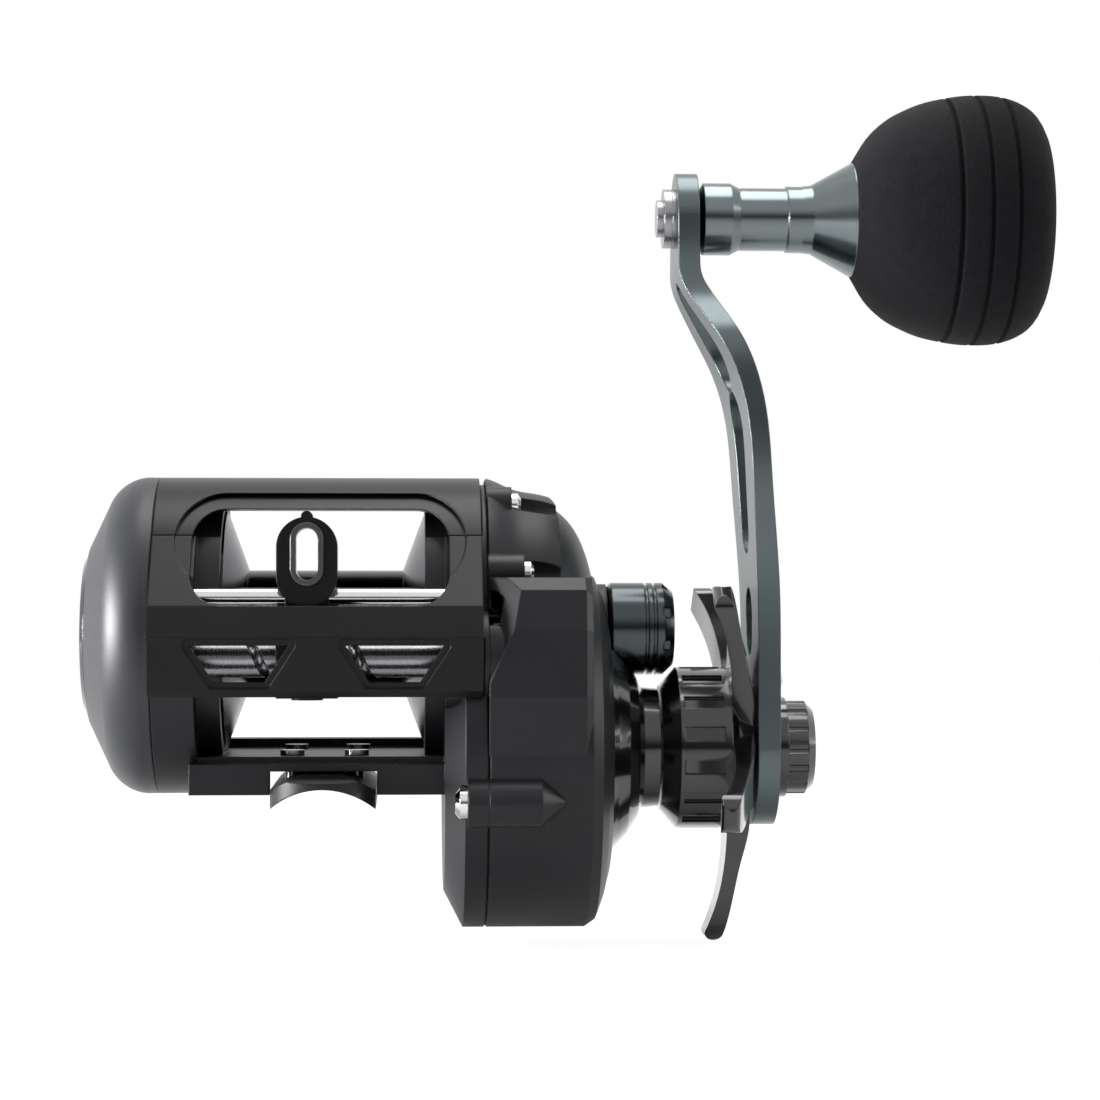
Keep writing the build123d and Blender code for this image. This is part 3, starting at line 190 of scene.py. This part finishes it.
class Finishes(Enum):
    """Every finish on the reel, named for how its surface was made; the side plate's finish also carries
    painted light.
    """

    # powder coated die casting: fine sandy grain that breaks highlights up
    COATED_CASTING = Finish("powder_coated_casting", "#1a1b1e", "#131417", 0.4, grain=0.3, grain_height=0.02,
                            gloss=0.28)
    # the same powder on the removable side plate, its colour drawn greyer than the casting's as painted light
    # from the side; its higher gloss catches that light too
    COATED_PLATE_PAINTED_LIGHT = Finish("powder_coated_plate_painted_light", "#2b2c30", "#212226", 0.42, grain=0.3, grain_height=0.02,
                          gloss=0.45)
    # moulded glass filled nylon: satin, darker and slightly smoother than the casting
    MOULDED_NYLON = Finish("moulded_nylon", "#0c0d0f", "#08090a", 0.34, grain=0.35, grain_height=0.01,
                           gloss=0.2)
    # polished black moulding under a clear coat
    GLOSS_BLACK = Finish("gloss_black_moulding", "#0c0c0f", "#08080a", 0.16, coat=0.7, grain=0.8,
                         grain_height=0.002, rough_swing=0.04)
    # black anodised turned aluminium: dark metal with faint lathe lines
    ANODISED_BLACK = Finish("anodised_black_aluminium", "#34353d", "#292a31", 0.22, metallic=1.0,
                            turned=True, grain=0.12, grain_height=0.003)
    # gunmetal anodised aluminium, turned: grey green with lathe lines
    ANODISED_TURNED = Finish("gunmetal_turned_aluminium", "#757d7f", "#687072", 0.2, metallic=1.0,
                             turned=True, grain=0.14, grain_height=0.003, rough_swing=0.05)
    # gunmetal anodised aluminium, bead blasted plate: softer sheen
    ANODISED_BLASTED = Finish("gunmetal_blasted_aluminium", "#626a6c", "#565e60", 0.3, metallic=1.0,
                              grain=0.15, grain_height=0.004)
    # black anodised turned cap: darker than the knob's barrel, same lathe lines
    ANODISED_DARK = Finish("dark_turned_aluminium", "#4b5052", "#3f4446", 0.2, metallic=1.0, turned=True,
                           grain=0.14, grain_height=0.003, rough_swing=0.05)
    # hard bright plate, almost without grain
    CHROME_PLATE = Finish("chrome_plate", "#dcdcdd", "#d0d0d2", 0.06, metallic=1.0, grain=2.0,
                          grain_height=0.001, rough_swing=0.02, worn_edge=0.15)
    # ground stainless steel: fine lines round each shaft
    GROUND_STEEL = Finish("ground_steel", "#9b9c9f", "#8d8e91", 0.28, metallic=1.0, turned=True, grain=0.1,
                          worn_edge=0.1)
    # free cutting brass, turned
    MACHINED_BRASS = Finish("machined_brass", "#c29a50", "#b08840", 0.26, metallic=1.0, turned=True,
                            grain=0.12, worn_edge=0.1)
    # closed cell foam, skived: dull with fine open cells, drawn a little coarse so that they show
    SKIVED_FOAM = Finish("skived_foam", "#17161a", "#0b0b0d", 0.9, grain=0.45, grain_height=0.25, sheen=0.03,
                         rough_swing=0.05, flutter=2.0, gloss=0.08)
    # pressed carbon cloth discs of the drag
    CARBON_DISC = Finish("woven_carbon_disc", "#26272a", "#141416", 0.5, grain=0.6, grain_height=0.02)
    # natural acetal gears and bushes
    WHITE_ACETAL = Finish("white_acetal", "#d8d7d0", "#cfcec6", 0.4, grain=0.5, grain_height=0.004,
                          worn_edge=0.1)
    # polished grey ceramic ring of the line guide
    GREY_CERAMIC = Finish("grey_ceramic", "#44464a", "#3a3c3f", 0.14, grain=1.0, grain_height=0.001)


SLOT_FINISH = {
    "coated_black": Finishes.COATED_CASTING,
    "cover_black": Finishes.MOULDED_NYLON,
    "gloss_black": Finishes.GLOSS_BLACK,
    "anodised_black": Finishes.ANODISED_BLACK,
    "anodised_grey": Finishes.ANODISED_TURNED,
    "chrome": Finishes.CHROME_PLATE,
    "steel": Finishes.GROUND_STEEL,
    "brass": Finishes.MACHINED_BRASS,
    "foam": Finishes.SKIVED_FOAM,
    "carbon": Finishes.CARBON_DISC,
    "acetal": Finishes.WHITE_ACETAL,
    "ceramic": Finishes.GREY_CERAMIC,
}


class FinishShelf:
    """Builds each finish once and hands out its material."""

    def __init__(self) -> None:
        """Start with nothing built."""
        self.built: dict[Finishes, bpy.types.Material] = {}

    def material(self, finish: Finishes) -> bpy.types.Material:
        """The material of a finish, built on first use."""
        if finish not in self.built:
            self.built[finish] = finish.value.build()
        return self.built[finish]

    def dress(self, piece: bpy.types.Object, finish: Finishes) -> None:
        """Give a piece one finish all over.

        Args:
            piece: mesh object.
            finish: which finish.
        """
        piece.data.materials.clear()
        piece.data.materials.append(self.material(finish))


# ------------------------------------------------------------------ carried-over pieces
@dataclass
class CarriedPieces:
    """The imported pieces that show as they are, each in the finish of its record slot."""

    shelf: FinishShelf
    overrides: dict[str, Finishes] = field(default_factory=lambda: {
        # the side plate takes a lighter copy of the casting's powder, whose colour is painted light from the
        # side
        "left_side_plate": Finishes.COATED_PLATE_PAINTED_LIGHT,
        "handle_arm": Finishes.ANODISED_BLASTED,
        "tension_cap": Finishes.ANODISED_DARK,
    })

    def dress(self) -> None:
        """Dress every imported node."""
        slots = {s["node"]: s["material_slot"] for s in frame["record"]["subparts"]}
        for node, piece in frame["nodes"].items():
            finish = self.overrides.get(node, SLOT_FINISH[slots[node]])
            self.shelf.dress(piece, finish)
            log.info("dressed %s in %s", node, finish.value.name)


# ------------------------------------------------------------------ foam knob grip
@dataclass
class FoamGrip:
    """Round foam grip of the power knob, with three rings cut round its crown.

    Shares run along the grip from its inner end. Sizes are in millimetres.
    """

    shelf: FinishShelf
    crown: tuple[tuple[float, float], ...] = (
        (0.0, 0.46), (0.085, 0.665), (0.18, 0.80), (0.275, 0.88), (0.37, 0.937),
        (0.48, 0.975), (0.565, 0.994), (0.65, 1.0), (0.73, 0.995), (0.80, 0.977),
        (0.865, 0.94), (0.925, 0.88), (0.968, 0.79), (0.99, 0.70), (1.0, 0.60))
    rings: tuple[float, ...] = (0.479, 0.629, 0.769)
    ring_half: float = 0.42
    ring_depth: float = 0.62
    ring_clear: float = 1.2
    ring_shoulder: float = 0.45
    ring_squareness: int = 4
    bore: float = 6.45
    weld: float = 0.001
    steps: int = 128
    profile_steps: int = 48

    def radius(self, share: float) -> float:
        """Crown radius as a share of the largest, on a smooth curve through the profile's points.

        Args:
            share: how far along the grip.

        Returns:
            The radius, where the largest is 1.
        """
        last = len(self.crown) - 1
        index = max(i for i in range(last) if self.crown[i][0] <= share)
        (start, low), (end, high) = self.crown[index], self.crown[index + 1]
        before = self.crown[max(index - 1, 0)]
        after = self.crown[min(index + 2, last)]
        rise_in = (high - before[1]) / (end - before[0]) * (end - start)
        rise_out = (after[1] - low) / (after[0] - start) * (end - start)
        t = (share - start) / (end - start)
        return (low * (2 * t ** 3 - 3 * t ** 2 + 1) + rise_in * (t ** 3 - 2 * t ** 2 + t)
                + high * (3 * t ** 2 - 2 * t ** 3) + rise_out * (t ** 3 - t ** 2))

    def outline(self, length: float, largest: float) -> list[tuple[float, float]]:
        """Outline of the outer surface, with the cut rings.

        Args:
            length: length of the grip.
            largest: its largest radius.

        Returns:
            Distances along the axis with their radii.
        """
        half = self.ring_half * MM / length
        shares = {step / self.profile_steps for step in range(self.profile_steps + 1)}
        for ring in self.rings:
            shoulder = half * self.ring_shoulder
            shares -= {share for share in shares if abs(share - ring) < half * self.ring_clear}
            shares |= {ring - half, ring - shoulder, ring, ring + shoulder, ring + half}
        points = []
        for share in sorted(shares):
            nearest = min(abs(share - ring) for ring in self.rings)
            depth = max(0.0, 1.0 - (nearest / half) ** self.ring_squareness)
            points.append((share * length, self.radius(share) * largest - self.ring_depth * MM * depth))
        return points

    def build(self) -> bpy.types.Object:
        """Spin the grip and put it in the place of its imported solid.

        Returns:
            The foam grip.
        """
        low, high = (Vector(corner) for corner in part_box("knob_grip"))
        middle = (low + high) / 2
        length = high.x - low.x
        largest = (high.y - low.y) / 2
        shape = bmesh.new()
        outline = [(0.0, self.bore * MM)] + self.outline(length, largest) + [(length, 0.0)]
        verts = [shape.verts.new((low.x + along, middle.y, middle.z + radius)) for along, radius in outline]
        edges = [shape.edges.new(pair) for pair in zip(verts, verts[1:])]
        bmesh.ops.spin(shape, geom=verts + edges, cent=middle, axis=(1, 0, 0), angle=math.tau,
                       steps=self.steps, use_merge=True)
        bmesh.ops.remove_doubles(shape, verts=shape.verts, dist=self.weld * MM)
        mouth = [edge for edge in shape.edges if edge.is_boundary]
        bmesh.ops.holes_fill(shape, edges=mouth, sides=0)
        bmesh.ops.recalc_face_normals(shape, faces=shape.faces)
        mesh = bpy.data.meshes.new("foam_grip")
        shape.to_mesh(mesh)
        shape.free()
        mesh.shade_smooth()
        piece = bpy.data.objects.new("foam_grip", mesh)
        bpy.context.scene.collection.objects.link(piece)
        self.shelf.dress(piece, Finishes.SKIVED_FOAM)
        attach(piece, "knob")
        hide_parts("knob_grip")
        log.info("spun %s with %d faces", piece.name, len(mesh.polygons))
        return piece


# ------------------------------------------------------------------ yoke springs
@dataclass
class YokeSprings:
    """The two coil springs that push the clutch yoke back, wound round its posts.

    Sizes are in millimetres.
    """

    shelf: FinishShelf
    wire: float = 0.5
    turns: int = 9
    turn_steps: int = 24
    wire_sides: int = 10

    def wind(self, shape: bmesh.types.BMesh, start: Vector, coil: float, length: float) -> None:
        """Wind one spring along +X.

        Args:
            shape: mesh that it is added to.
            start: middle of its first turn, in metres.
            coil: radius at the middle of the wire.
            length: length over both ends.
        """
        radius = self.wire * MM / 2
        place = Matrix.Translation(start + Vector((radius, 0, coil))) @ Matrix.Rotation(math.pi / 2, 4, "X")
        section = bmesh.ops.create_circle(shape, segments=self.wire_sides, radius=radius, matrix=place)
        verts = section["verts"]
        edges = list({edge for vert in verts for edge in vert.link_edges})
        steps = self.turns * self.turn_steps
        rise = (length - 2 * radius) / steps
        bmesh.ops.spin(shape, geom=verts + edges, cent=start, axis=(1, 0, 0), angle=self.turns * math.tau,
                       steps=steps, dvec=(rise, 0, 0))

    def build(self) -> bpy.types.Object:
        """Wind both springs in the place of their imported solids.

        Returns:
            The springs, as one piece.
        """
        low, high = (Vector(corner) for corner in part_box("yoke_springs"))
        outer = (high.z - low.z) / 2
        length = high.x - low.x
        shape = bmesh.new()
        for across in (low.y + outer, high.y - outer):
            start = Vector((low.x, across, low.z + outer))
            self.wind(shape, start, outer - self.wire * MM / 2, length)
        ends = [edge for edge in shape.edges if edge.is_boundary]
        bmesh.ops.holes_fill(shape, edges=ends, sides=0)
        bmesh.ops.recalc_face_normals(shape, faces=shape.faces)
        mesh = bpy.data.meshes.new("yoke_coils")
        shape.to_mesh(mesh)
        shape.free()
        mesh.shade_smooth()
        piece = bpy.data.objects.new("yoke_coils", mesh)
        bpy.context.scene.collection.objects.link(piece)
        self.shelf.dress(piece, Finishes.GROUND_STEEL)
        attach(piece, "frame")
        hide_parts("yoke_springs")
        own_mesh(piece)
        log.info("wound %s with %d faces", piece.name, len(mesh.polygons))
        return piece


# ------------------------------------------------------------------ studio
@dataclass(frozen=True)
class Lamp:
    """One soft square lamp: where it stands and its side in metres, and its power in watts."""

    name: str
    place: tuple[float, float, float]
    side: float
    power: float


@dataclass
class Studio:
    """Plain white table and surroundings, soft lamps and the camera.

    Places are in metres in the reel's own frame. Each room range runs from the unlit room to the white.
    """

    eye: tuple[float, float, float] = (0.0117, -0.480, 0.027)
    aim: tuple[float, float, float] = (0.05, 1.0, 0.02)
    lens: float = 98.2
    sensor: float = 36.0
    ambient: float = 0.5
    room_depth: float = 0.93
    room_front: tuple[float, float] = (-0.75, -0.1)
    room_height: tuple[float, float] = (0.05, 0.5)
    table_gap: float = 0.0005
    table_half: float = 3.0
    table_colour: str = "#f2f2f2"
    table_glow: float = 0.85
    table_white: float = 1.1
    lamp_aim: tuple[float, float, float] = (0.02, 0.0, 0.03)
    lamps: tuple[Lamp, ...] = (
        Lamp("top_lamp", (0.1, 0.1, 0.9), 0.6, 5.0),
        Lamp("left_lamp", (-0.9, -0.1, 0.0), 0.5, 40.0),
        Lamp("right_lamp", (0.95, -0.1, 0.3), 0.5, 3.0))

    def camera(self) -> None:
        """Place the camera."""
        data = bpy.data.cameras.new("camera")
        data.lens = self.lens
        data.sensor_width = self.sensor
        camera = bpy.data.objects.new("camera", data)
        camera.location = self.eye
        camera.rotation_euler = Vector(self.aim).to_track_quat("-Z", "Y").to_euler()
        bpy.context.scene.collection.objects.link(camera)
        bpy.context.scene.camera = camera

    def seen_plainly(self, tree: bpy.types.NodeTree) -> tuple[bpy.types.NodeSocket, bpy.types.NodeSocket]:
        """Which rays see the plain white, as sockets of one or zero.

        Args:
            tree: node tree of the world or of the floor.

        Returns:
            One for the camera and glass, and one for reflections.
        """
        path = add_node(tree, "ShaderNodeLightPath")
        direct = add_node(tree, "ShaderNodeMath",
                          {0: path.outputs["Is Camera Ray"], 1: path.outputs["Is Transmission Ray"]},
                          {"operation": "MAXIMUM"})
        return direct.outputs[0], path.outputs["Is Glossy Ray"]

    def world(self) -> None:
        """White surroundings, with an unlit room low in front of the reel for everything but the camera."""
        world = bpy.data.worlds.new("studio")
        bpy.context.scene.world = world
        world.use_nodes = True
        tree = world.node_tree
        tree.nodes.clear()
        direct, glossy = self.seen_plainly(tree)
        place = add_node(tree, "ShaderNodeTexCoord")
        way = add_node(tree, "ShaderNodeSeparateXYZ", {"Vector": place.outputs["Generated"]})
        smooth = {"interpolation_type": "SMOOTHSTEP"}
        forward = add_node(tree, "ShaderNodeMapRange", {"Value": way.outputs["Y"]}, smooth,
                           From_Min=self.room_front[0], From_Max=self.room_front[1], To_Min=1.0, To_Max=0.0)
        lowness = add_node(tree, "ShaderNodeMapRange", {"Value": way.outputs["Z"]}, smooth,
                           From_Min=self.room_height[0], From_Max=self.room_height[1],
                           To_Min=self.room_depth, To_Max=0.0)
        shade = add_node(tree, "ShaderNodeMath", {0: forward.outputs["Result"], 1: lowness.outputs["Result"]},
                         {"operation": "MULTIPLY"})
        room = add_node(tree, "ShaderNodeMath", {1: shade.outputs[0]}, {"operation": "SUBTRACT"})
        room.inputs[0].default_value = 1.0
        base = add_node(tree, "ShaderNodeMapRange", {"Value": glossy}, To_Min=self.ambient, To_Max=1.0)
        lit = add_node(tree, "ShaderNodeMath", {0: base.outputs["Result"], 1: room.outputs[0]},
                       {"operation": "MULTIPLY"})
        strength = add_node(tree, "ShaderNodeMath", {0: lit.outputs[0], 1: direct}, {"operation": "MAXIMUM"})
        background = add_node(tree, "ShaderNodeBackground", {"Strength": strength.outputs[0]},
                              Color=(1, 1, 1, 1))
        add_node(tree, "ShaderNodeOutputWorld", {"Surface": background.outputs["Background"]})

    def floor(self) -> None:
        """White table just under the reel, which keeps its shadow."""
        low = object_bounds()[0][2] - self.table_gap
        mesh = bpy.data.meshes.new("table")
        shape = bmesh.new()
        bmesh.ops.create_grid(shape, x_segments=2, y_segments=2, size=self.table_half,
                              matrix=Matrix.Translation((0, 0, low)))
        shape.to_mesh(mesh)
        shape.free()
        table = bpy.data.objects.new("table", mesh)
        bpy.context.scene.collection.objects.link(table)
        material = bpy.data.materials.new("white_table")
        material.use_nodes = True
        tree = material.node_tree
        tree.nodes.clear()
        direct, _ = self.seen_plainly(tree)
        share = add_node(tree, "ShaderNodeMath", {0: direct}, {"operation": "MULTIPLY"})
        share.inputs[1].default_value = self.table_glow
        matte = add_node(tree, "ShaderNodeBsdfDiffuse", Color=linear(self.table_colour))
        glow = add_node(tree, "ShaderNodeEmission", Color=(1, 1, 1, 1), Strength=self.table_white)
        mix = add_node(tree, "ShaderNodeMixShader", {0: share.outputs[0], 1: matte.outputs["BSDF"],
                                                     2: glow.outputs["Emission"]})
        add_node(tree, "ShaderNodeOutputMaterial", {"Surface": mix.outputs["Shader"]})
        mesh.materials.append(material)
        table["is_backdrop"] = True

    def hang(self, lamp: Lamp) -> None:
        """Hang one lamp so that it points at the reel.

        Args:
            lamp: which lamp.
        """
        data = bpy.data.lights.new(lamp.name, "AREA")
        data.size = lamp.side
        data.energy = lamp.power
        hung = bpy.data.objects.new(lamp.name, data)
        hung.location = lamp.place
        towards = Vector(self.lamp_aim) - Vector(lamp.place)
        hung.rotation_euler = towards.to_track_quat("-Z", "Y").to_euler()
        bpy.context.scene.collection.objects.link(hung)

    def build(self) -> None:
        """Build the whole studio."""
        bpy.context.scene.view_settings.view_transform = "Standard"
        self.camera()
        self.world()
        self.floor()
        for lamp in self.lamps:
            self.hang(lamp)


def main() -> None:
    """Build the reel's looks and the studio around it."""
    logging.basicConfig(level=logging.INFO, format="%(name)s: %(message)s")
    shelf = FinishShelf()
    CarriedPieces(shelf).dress()
    FoamGrip(shelf).build()
    YokeSprings(shelf).build()
    Studio().build()


if __name__ == "__main__":
    main()
